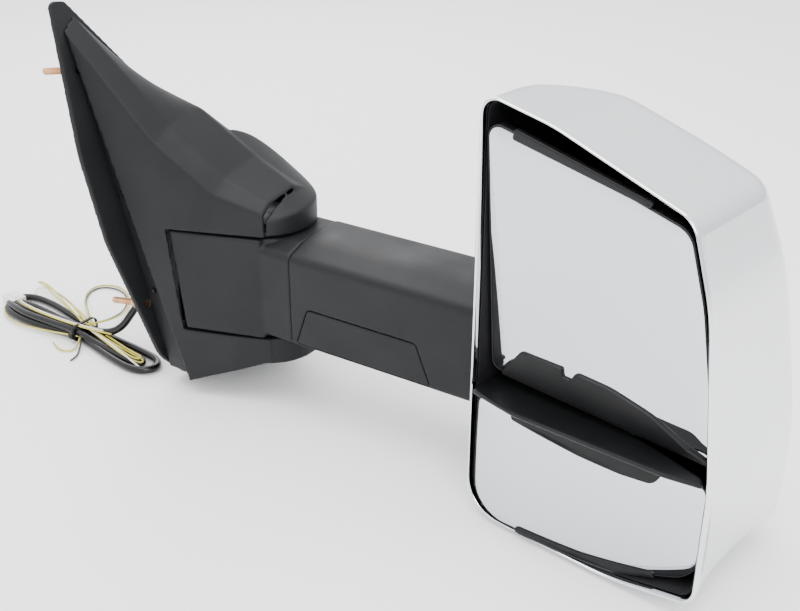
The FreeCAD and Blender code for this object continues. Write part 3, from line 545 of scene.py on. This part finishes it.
SOCKET_PITCH = (4.7, 4.1)
SOCKET_SIZE = (4.0, 3.5)


def add_harness():
    """The lead and its wires, each as a cord on the base, with tie and connector."""
    lead = add_cord("harness_sheathed_lead", LEAD_ROUTE, LEAD_DIAMETER, SHEATH)
    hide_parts("harness_lead", "harness_hank")
    plug = add_connector()
    tie = add_tie()
    path_length(spline_points(lead))
    for name, material, route in LOOSE_WIRES:
        wire = add_cord(name, route, WIRE_DIAMETER, material)
        path_length(spline_points(wire))
    last_run = LOOSE_WIRES[-2][2][-2:]
    tip = make_object("bare_copper_end", *tube_between(*last_run, 0.55, 7.0), YELLOW_ZINC, "base")


def tube_between(start, end, radius, length):
    """A short rod that carries on past the end of a line."""
    along = (Vector(end) - Vector(start)).normalized()
    side = along.cross(Vector((0, 0, 1))).normalized()
    lift = side.cross(along)
    sides = 10
    rings = []
    for reach in (-0.5, length):
        centre = Vector(end) + along * reach
        rings.append([centre + (side * math.cos(turn) + lift * math.sin(turn)) * radius
                      for turn in (2 * math.pi * k / sides for k in range(sides))])
    return skin(rings)


def box_points(low, high):
    """Vertices and faces of a box between two corners."""
    (x0, y0, z0), (x1, y1, z1) = low, high
    verts = [(x0, y0, z0), (x1, y0, z0), (x1, y1, z0), (x0, y1, z0), (x0, y0, z1), (x1, y0, z1), (x1, y1, z1),
             (x0, y1, z1)]
    faces = [(3, 2, 1, 0), (4, 5, 6, 7), (0, 1, 5, 4), (1, 2, 6, 5), (2, 3, 7, 6), (3, 0, 4, 7)]
    return verts, faces


def carve(obj, cutter):
    """Takes a cutter's volume out of a piece and removes the cutter."""
    modifier = obj.modifiers.new("carve", "BOOLEAN")
    modifier.operation = "DIFFERENCE"
    modifier.solver = "EXACT"
    modifier.object = cutter
    settle(obj)
    bpy.data.objects.remove(cutter)


def cutter_box(low, high, place=Matrix.Identity(4)):
    """A plain box used only to cut."""
    return make_object("cutter", *box_points(low, high), LINER_AND_CAVITY_SHADE_BLACK, "base", place, smooth=False)


def add_connector():
    """The connector housing with its socket, dividing walls and latch."""
    yaw = Matrix.Rotation(math.radians(CONNECTOR_YAW), 4, "Z")
    place = Matrix.Translation(Vector(CONNECTOR_CORNER) * MM) @ yaw
    plug = make_object("harness_connector_housing", *box_points((0, 0, 0), (22, 16, 10)), NYLON, "base", place,
                       smooth=False)
    for row in range(2):
        for column in range(3):
            low = (-1, 1.3 + column * SOCKET_PITCH[0], 1.2 + row * SOCKET_PITCH[1])
            carve(plug, cutter_box(low, (15, low[1] + SOCKET_SIZE[0], low[2] + SOCKET_SIZE[1]), place))
    bevelled(plug, 0.0005, 2)
    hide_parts("harness_connector")
    latch = make_object("harness_connector_latch", *box_points((3, 5, 9.5), (19, 11, 11.4)), NYLON, "base", place,
                        smooth=False)
    bevelled(latch, 0.0006, 2)
    return plug


def add_tie():
    """The tie round the hank, with its lock head."""
    rings = []
    x_mid, y_mid, z_mid = TIE_CENTRE
    half_y, half_z, corner = 15.0, 7.6, 5.5
    loop = rounded_loop([(y_mid - half_y, z_mid - half_z, corner), (y_mid + half_y, z_mid - half_z, corner),
                         (y_mid + half_y, z_mid + half_z, corner), (y_mid - half_y, z_mid + half_z, corner)], 2, 8)
    for x, grow in ((-1.6, 0.0), (-1.8, 0.6), (-1.6, 1.2), (1.6, 1.2), (1.8, 0.6), (1.6, 0.0), (-1.6, 0.0)):
        rings.append([(x_mid + x, point.x, point.y) for point in inset_loop(loop, -grow)])
    tie = make_object("harness_tie_band", *skin(rings, (False, False)), SATIN_BLACK, "base")
    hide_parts("harness_tie")
    head = make_object("harness_tie_lock", *box_points((x_mid - 3, y_mid - half_y - 4.5, z_mid - 3),
                                                       (x_mid + 3, y_mid - half_y + 0.5, z_mid + 3)),
                       SATIN_BLACK, "base", smooth=False)
    bevelled(head, 0.0009, 3)
    return tie


add_harness()


# ------------------------------------------------------------------------------------------
# Rings of a rounded outline, in millimetres in a local frame
# ------------------------------------------------------------------------------------------
SMALLEST_RADIUS = 0.8


def outline_ring(corners, inset, arc_steps=9, spacing=6.0):
    """A rounded outline moved inward, always with the same number of points."""
    count = len(corners)
    flat = [Vector((x, z)) for x, z, _ in corners]
    area = sum(a.x * b.y - b.x * a.y for a, b in zip(flat, flat[1:] + flat[:1]))
    side = 1 if area > 0 else -1
    moved = []
    for i in range(count):
        back, ahead = (flat[i] - flat[i - 1]).normalized(), (flat[(i + 1) % count] - flat[i]).normalized()
        normal_back = Vector((-back.y, back.x)) * side
        normal_ahead = Vector((-ahead.y, ahead.x)) * side
        lean = (normal_back + normal_ahead).normalized()
        moved.append(flat[i] + lean * (inset / lean.dot(normal_back)))
    ring = []
    for i in range(count):
        radius = max(corners[i][2] - inset, SMALLEST_RADIUS)
        ring += corner_arc(moved[i - 1], moved[i], moved[(i + 1) % count], radius, arc_steps)
        parts = max(2, round((flat[(i + 1) % count] - flat[i]).length / spacing))
        next_radius = max(corners[(i + 1) % count][2] - inset, SMALLEST_RADIUS)
        nxt = corner_arc(moved[i], moved[(i + 1) % count], moved[(i + 2) % count], next_radius, 1)[0]
        last = ring[-1]
        ring += [last.lerp(nxt, k / parts) for k in range(1, parts)]
    return ring


def ring_centre(ring):
    """The middle of a ring's extent."""
    low = Vector((min(p.x for p in ring), min(p.y for p in ring)))
    high = Vector((max(p.x for p in ring), max(p.y for p in ring)))
    return (low + high) / 2


def shrunk(ring, share):
    """A ring drawn towards its middle."""
    middle = ring_centre(ring)
    return [middle + (point - middle) * share for point in ring]


# ------------------------------------------------------------------------------------------
# Chrome shell
# ------------------------------------------------------------------------------------------
RIM = [(-4.5, 113.5, 14), (55, 101.5, 150), (160, 65, 22), (178, 8, 180), (192, -120, 200), (191, -210, 16),
       (125, -222.5, 200), (-6.5, -222, 30)]
ARM_SECTION = [(-41, -45, 4), (-41, 37, 8), (-12, 47, 60), (36, 48, 14), (36, -45, 5)]
ARM_CLEARANCE = 1.6
ARM_CUT = (330, 400)
WALL = 2.6
EDGE_ROUND = 20.0
WALL_STEPS = 14
ROUND_STEPS = 8
LINER_DEPTH = 58.0
# Depth behind the rim from which the shell's inner faces get painted cavity shade instead of chrome.
CAVITY_SHADE_FROM = 8.0
HEAD_MIDDLE = (95, 50, -60)


def front_depth(across, rise):
    """How far the shell's front lies from the rim plane, before its edges are rounded."""
    outboard = max(0.0, across - 50.0) / 142.0
    droop = 0.00052 + 0.0004 * outboard ** 4
    high = min(1.0, max(0.0, (rise + 30.0) / 110.0))
    corner = 0.004 + 0.0115 * high * high * (3 - 2 * high)
    return 139.0 - droop * (rise + 167.0) ** 2 - corner * max(0.0, 60.0 - across) ** 2


def shell_point(point, depth):
    """A point on the shell, drawn inward below the soft crease on its outboard side."""
    crease = -97.0 - 0.74 * depth
    below = max(0.0, crease - point.y)
    reach = min(1.0, max(0.0, (point.x - 120.0) / 60.0))
    soft = below * below / (below + 6.0)
    return (point.x - 0.0019 * depth * soft * reach, depth, point.y)


def shell_rings(inset, round_radius, start, gap):
    """Rings from the rim back along the wall and over the rounded front edge to the middle."""
    rings = []
    wall_ring = outline_ring(RIM, inset)
    for step in range(WALL_STEPS + 1):
        share = step / WALL_STEPS
        rings.append([shell_point(p, start + share * (front_depth(p.x, p.y) - gap - round_radius - start))
                      for p in wall_ring])
    for step in range(1, ROUND_STEPS + 1):
        turn = math.radians(90 * step / ROUND_STEPS)
        ring = outline_ring(RIM, inset + round_radius * (1 - math.cos(turn)))
        rings.append([shell_point(p, front_depth(p.x, p.y) - gap - round_radius * (1 - math.sin(turn)))
                      for p in ring])
    last = outline_ring(RIM, inset + round_radius)
    for share in (0.88, 0.74, 0.6, 0.46, 0.32, 0.18, 0.07):
        rings.append([shell_point(p, front_depth(p.x, p.y) - gap) for p in shrunk(last, share)])
    return rings


def arm_cutter():
    """The arm's section as a block along X where the arm enters the head, larger by a clearance."""
    ring = outline_ring(ARM_SECTION, -ARM_CLEARANCE)
    rings = [[(x, p.x, p.y) for p in ring] for x in ARM_CUT]
    return make_object("arm_cutter", *skin(rings), LINER_AND_CAVITY_SHADE_BLACK, "arm", smooth=False)


def paint_cavity_shade(shell):
    """Paints shade into the head: the faces that look into it, deeper than the lip, get the black lining finish as
    painted cavity shade.
    """
    shell.data.materials.append(LINER_AND_CAVITY_SHADE_BLACK)
    middle = HEAD @ (Vector(HEAD_MIDDLE) * MM)
    depth_axis = (HEAD.to_3x3() @ Vector((0, 1, 0))).normalized()
    for face in shell.data.polygons:
        depth = (face.center - HEAD.translation).dot(depth_axis)
        if depth > CAVITY_SHADE_FROM * MM and face.normal.dot(middle - face.center) > 0:
            face.material_index = 1


def add_shell():
    """The plated shell with its rolled lip, the groove behind the lip and the arm's mouth."""
    lip = [(WALL, 9.0), (WALL, 3.0), (WALL - 0.15, 1.4), (WALL - 0.7, 0.45), (WALL / 2, 0.1), (0.7, 0.45),
           (0.15, 1.3), (0.0, 3.4), (0.1, 3.9), (0.75, 4.2), (0.75, 4.9), (0.1, 5.2), (0.0, 5.8)]
    inner = shell_rings(WALL, EDGE_ROUND - WALL, 9.0, WALL)[::-1]
    rings = inner[:-1]
    for inset, depth in lip:
        rings.append([(p.x, depth, p.y) for p in outline_ring(RIM, inset)])
    rings += shell_rings(0.0, EDGE_ROUND, 6.4, 0.0)
    verts, faces = skin(rings, (False, False))
    size = len(rings[0])
    for start, ring, gap in ((0, rings[0], WALL), ((len(rings) - 1) * size, rings[-1], 0.0)):
        middle = ring_centre([Vector((p[0], p[2])) for p in ring])
        fan_cap(verts, faces, start, size, (middle.x, front_depth(middle.x, middle.y) - gap, middle.y))
    shell = make_object("plated_head_shell", verts, faces, CHROME, "head", HEAD)
    carve(shell, arm_cutter())
    # Painted shade: the inner faces get the black lining finish where the cavity lies in shadow.
    paint_cavity_shade(shell)
    shade_sharp(shell, 50)
    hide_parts("chrome_shell")


def add_liner():
    """The black lining just inside the rim."""
    rings = []
    for inset, depth in ((WALL + 0.3, LINER_DEPTH), (WALL + 0.3, 6.6), (WALL + 0.7, 6.0), (WALL + 1.2, 6.0),
                         (WALL + 1.6, 6.6), (WALL + 1.6, LINER_DEPTH)):
        rings.append([shell_point(p, min(depth, front_depth(p.x, p.y) - EDGE_ROUND))
                      for p in outline_ring(RIM, inset)])
    liner = make_object("head_rim_liner", *skin(rings + rings[:1], (False, False)), LINER_AND_CAVITY_SHADE_BLACK, "head", HEAD)
    carve(liner, arm_cutter())
    shade_sharp(liner, 50)
    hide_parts("rim_liner")


add_shell()
add_liner()


# ------------------------------------------------------------------------------------------
# Glasses, their trays and the ledge between them
# ------------------------------------------------------------------------------------------
UPPER_GLASS = [(-93.5, 96, 9), (-38, 84.5, 120), (59, 57.5, 16), (72, 8, 150), (84, -78, 60), (85, -101, 6),
               (-93, -95.5, 6)]
LOWER_GLASS = [(-92, 58, 7), (86, 46, 9), (86, -28, 22), (30, -44, 150), (-92, -44.5, 27)]
UPPER_FRONT = -14.5
CONVEX_CROWN = -25.0
CONVEX_RADIUS = 700.0
INNER_SHARES = (0.8, 0.6, 0.4, 0.2)


def flat_face(x, z):
    """The upper glass's front, which is flat."""
    return UPPER_FRONT


def convex_face(x, z):
    """The lower glass's front, a shallow dome."""
    return CONVEX_CROWN + CONVEX_RADIUS - math.sqrt(CONVEX_RADIUS ** 2 - x * x - z * z)


def dished(corners, face, profile):
    """A solid sheet from (inset, depth behind the face) rings, closed front and back to its middle."""
    def on_face(points, depth):
        return [(p.x, face(p.x, p.y) + depth, p.y) for p in points]

    outlines = [outline_ring(corners, inset, 8, 5.0) for inset, _ in profile]
    front_depth_behind, back_depth_behind = profile[0][1], profile[-1][1]
    rings = [on_face(outline, depth) for outline, (_, depth) in zip(outlines, profile)]
    front = [on_face(shrunk(outlines[0], share), front_depth_behind) for share in INNER_SHARES]
    back = [on_face(shrunk(outlines[-1], share), back_depth_behind) for share in INNER_SHARES]
    rings = front[::-1] + rings + back
    verts, faces = skin(rings, (False, False))
    size = len(rings[0])
    fan_cap(verts, faces, 0, size, *on_face([ring_centre(outlines[0])], front_depth_behind))
    back_start = (len(rings) - 1) * size
    fan_cap(verts, faces, back_start, size, *on_face([ring_centre(outlines[-1])], back_depth_behind))
    return verts, faces


def add_glass(row, corners, face, place):
    """One silvered glass, and the tray that grips it."""
    body = row + "_mirror"
    glass = make_object(row + "_silvered_glass", *dished(corners, face, [(0.5, 0.0), (0.12, 0.15), (0.0, 0.5),
                                                                        (0.0, 1.9), (0.3, 2.2)]),
                        SILVERED, body, place)
    shade_sharp(glass, 40)
    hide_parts(row + "_glass")
    profile = [(0.6, 0.9), (-0.2, 0.7), (-0.5, 0.25), (-1.1, 0.05), (-1.4, 0.3), (-1.6, 1.0), (-1.6, 4.6),
               (-1.0, 6.4), (0.6, 7.4), (9.0, 7.6)]
    tray = make_object(row + "_glass_tray", *dished(corners, face, profile), SATIN_BLACK, body, place)
    shade_sharp(tray, 40)


def add_strip(name, corners, face, place, body, proud, depth):
    """A raised strip over a glass's edge: a rounded plate that follows the glass."""
    rings = []
    for inset, lift in ((2.08, proud), (0.8, proud), (0.24, proud * 0.72), (0.0, proud * 0.3), (0.0, -depth)):
        rings.append([(p.x, face(p.x, p.y) - lift, p.y) for p in outline_ring(corners, inset, 6, 4.0)])
    verts, faces = skin(rings, (True, True))
    strip = make_object(name, verts, faces, SATIN_BLACK, body, place)
    shade_sharp(strip, 40)


def add_glasses():
    """Both glasses with their trays and the strips that cover parts of their edges."""
    add_glass("upper", UPPER_GLASS, flat_face, UPPER)
    add_glass("lower", LOWER_GLASS, convex_face, LOWER)
    add_strip("upper_glass_top_strip", [(-74, 88, 2.0), (31, 66.5, 2.5), (34, 71, 2.0), (-72, 96, 2.0)],
              flat_face, UPPER, "upper_mirror", 1.4, 2.5)
    add_strip("upper_glass_bottom_strip", [(-84, -95, 2), (-67, -73, 5), (-31, -73, 1.5), (-30, -80, 1.5),
                                           (-24, -80, 1.5), (-20, -73, 5), (8, -74.5, 60), (41, -82.5, 60),
                                           (70, -98, 5), (86, -102, 1.5), (86, -105, 1.5), (-84, -98.5, 1.5)],
              flat_face, UPPER, "upper_mirror", 2.2, 2.0)
    add_strip("lower_glass_top_strip", [(-62, 59, 1.5), (-63, 49, 3), (-6, 40.5, 60), (26, 37.5, 40),
                                        (50, 37.5, 8), (56, 48, 2), (30, 53, 60)],
              convex_face, LOWER, "lower_mirror", 2.0, 2.0)
    add_strip("lower_glass_bottom_strip", [(-58, -46, 2), (-52, -42.5, 2), (0, -41.5, 60), (56, -35, 3),
                                           (60, -40, 2), (30, -47.5, 60), (-50, -48, 2)],
              convex_face, LOWER, "lower_mirror", 1.6, 2.0)


LEDGE_TOP = -110.2


def add_ledge():
    """The black shelf that crosses the head between the two glasses and stands a little out of the rim."""
    plan = [(0.6, -5, 3), (42, -12, 60), (162, -7, 60), (188.6, -1.5, 2), (183, 6, 10), (128, 20, 90),
            (30, 42, 30), (0.6, 36, 4)]
    rings = []
    for inset, drop in ((2.6, 0.0), (1.2, 0.0), (0.35, 0.3), (0.0, 1.0), (0.0, 2.2), (0.6, 3.0), (1.6, 3.3)):
        rings.append([(p.x, p.y, LEDGE_TOP - drop) for p in outline_ring(plan, inset, 6, 5.0)])
    ledge = make_object("head_divider_ledge", *skin(rings), SATIN_BLACK, "head", HEAD)
    shade_sharp(ledge, 40)
    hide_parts("divider_shelf")


add_glasses()
add_ledge()


# ------------------------------------------------------------------------------------------
# Moulded black parts: softened copies of the frame's own solids
# ------------------------------------------------------------------------------------------
def ease(value, low, high):
    """0 below low, 1 above high, and a smooth rise between."""
    share = min(1.0, max(0.0, (value - low) / (high - low)))
    return share * share * (3 - 2 * share)


DOOR_LINE_X = 54.0
DOOR_LINE_RUN = 88.0
DOOR_LINE_FOOT = -103.0
DOOR_LINE_HEIGHT = 333.0


def soften_roof(obj):
    """Blends the sail cover's roof into its sides, away from the arm's slot and the door edge."""
    group = obj.vertex_groups.new(name="roof")
    for vertex in obj.data.vertices:
        x, y, z = (axis / MM for axis in vertex.co)
        door_edge = DOOR_LINE_X - DOOR_LINE_RUN * (z - DOOR_LINE_FOOT) / DOOR_LINE_HEIGHT
        weight = ease(z, 58, 70) * ease(x - door_edge, 2, 16) * ease(230 - z, 4, 20)
        if weight > 0.01:
            group.add([vertex.index], weight, "REPLACE")
    blend = obj.modifiers.new("roof", "SMOOTH")
    blend.vertex_group = "roof"
    blend.factor = 0.5
    blend.iterations = 24 // 1


DECIMATE_SHARE = 0.3
# Each row is the new piece, the node it is made from, the voxel in millimetres and the smoothing passes.
MOULDINGS = [("sail_cover_moulding", "sail_cover", 0.95, 9),
             ("arm_shell_moulding", "arm_shell", 1.1, 9),
             ("arm_tail_moulding", "arm_tail", 1.2, 8),
             ("service_panel_moulding", "arm_service_panel", 0.7, 3),
             ("mounting_plate_moulding", "mounting_plate", 1.0, 4)]


def moulded_copy(name, node, voxel, passes):
    """A new piece with the node's shape, its edges rounded as a moulding's are."""
    source = frame["nodes"][node]
    mesh = source.data.copy()
    mesh.name = name
    mesh.materials.clear()
    mesh.materials.append(TEXTURED_BLACK)
    obj = bpy.data.objects.new(name, mesh)
    bpy.context.collection.objects.link(obj)
    work = bmesh.new()
    work.from_mesh(mesh)
    bmesh.ops.remove_doubles(work, verts=work.verts, dist=1e-6)
    work.to_mesh(mesh)
    work.free()
    remesh = obj.modifiers.new("voxels", "REMESH")
    remesh.mode = "VOXEL"
    remesh.voxel_size = voxel * MM * 1
    soften = obj.modifiers.new("soften", "SMOOTH")
    soften.factor = 0.5
    soften.iterations = passes // 1
    if node == "sail_cover":
        settle(obj)
        soften_roof(obj)
    thin = obj.modifiers.new("thin", "DECIMATE")
    thin.ratio = DECIMATE_SHARE
    settle(obj)
    for face in obj.data.polygons:
        face.use_smooth = True
    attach(obj, source["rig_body"])
    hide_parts(node)


for moulding in MOULDINGS:
    moulded_copy(*moulding)


# ------------------------------------------------------------------------------------------
# Studs with rolled threads
# ------------------------------------------------------------------------------------------
TUMBLEHOME = math.radians(10)
DOOR = Matrix.Rotation(-TUMBLEHOME, 4, "Y")
STUD_PLACES = [(-81.0, 178.4), (-67.5, -36.5), (88.0, -36.5)]
STUD_TIP = -36.0
COLLAR_OUTLINE = [(5.0, 3.0), (5.0, 4.6), (4.6, 5.0), (-8.6, 5.0), (-9.3, 4.6), (-9.5, 3.0)]
THREAD_RADIUS = 3.0
THREAD_PITCH = 1.0
THREAD_HEIGHT = 0.5


def turned_rings(outline):
    """Rings round the X axis from (x, radius) pairs."""
    sides = 40
    return [[(x, radius * math.cos(2 * math.pi * k / sides), radius * math.sin(2 * math.pi * k / sides))
             for k in range(sides)] for x, radius in outline]


def thread_rings(start, end):
    """Rings round the X axis whose radius follows a rolled thread's helix."""
    sides = 28
    rows = round(abs(end - start) / THREAD_PITCH * 10)
    rings = []
    for row in range(rows + 1):
        x = start + (end - start) * row / rows
        fade = min(1.0, (rows - row) / 8, row / 6)
        ring = []
        for k in range(sides):
            phase = (x / THREAD_PITCH + k / sides) % 1.0
            crest = 1 - abs(2 * phase - 1)
            tip_chamfer = 0.35 * max(0, 1 - (rows - row) / 5)
            reach = THREAD_RADIUS - THREAD_HEIGHT * fade * (1 - min(1.0, crest * 1.35)) - tip_chamfer
            angle = 2 * math.pi * k / sides
            ring.append((x, reach * math.cos(angle), reach * math.sin(angle)))
        rings.append(ring)
    return rings


def add_studs():
    """Three studs, each with a collar and a long rolled thread."""
    for number, (across, rise) in enumerate(STUD_PLACES):
        place = DOOR @ Matrix.Translation(Vector((0, across, rise)) * MM)
        stud = make_object(f"mounting_stud_{number + 1}", *skin(thread_rings(-3.0, STUD_TIP)),
                           YELLOW_ZINC, "base", place)
        shade_sharp(stud, 60)
        if number == 0:
            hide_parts("mounting_studs")
        collar = make_object(f"stud_collar_{number + 1}", *skin(turned_rings(COLLAR_OUTLINE)), YELLOW_ZINC,
                             "base", place)
        shade_sharp(collar, 35)


add_studs()


# ------------------------------------------------------------------------------------------
# Finishes of the frame's own parts that stay in view
# ------------------------------------------------------------------------------------------
SLOT_FINISH = {"textured_black": TEXTURED_BLACK, "satin_black": SATIN_BLACK, "chrome_plate": CHROME,
               "mirror_glass": SILVERED, "film": HEATER_FILM, "plated_stud": YELLOW_ZINC, "steel": STEEL,
               "zinc": STEEL, "casting": CAST_METAL, "bronze": BRONZE, "foam": FOAM, "rubber": RUBBER,
               "natural_nylon": NYLON, "grey_plastic": ACETAL, "sheath": SHEATH}


def finish_frame_parts():
    """Gives each carried-over part the finish of its slot."""
    for part in frame["record"]["subparts"]:
        node = frame["nodes"][part["node"]]
        node.data.materials.clear()
        node.data.materials.append(SLOT_FINISH[part["material_slot"]])
    frame["nodes"]["cover_screws"].data.materials[0] = SATIN_BLACK


finish_frame_parts()
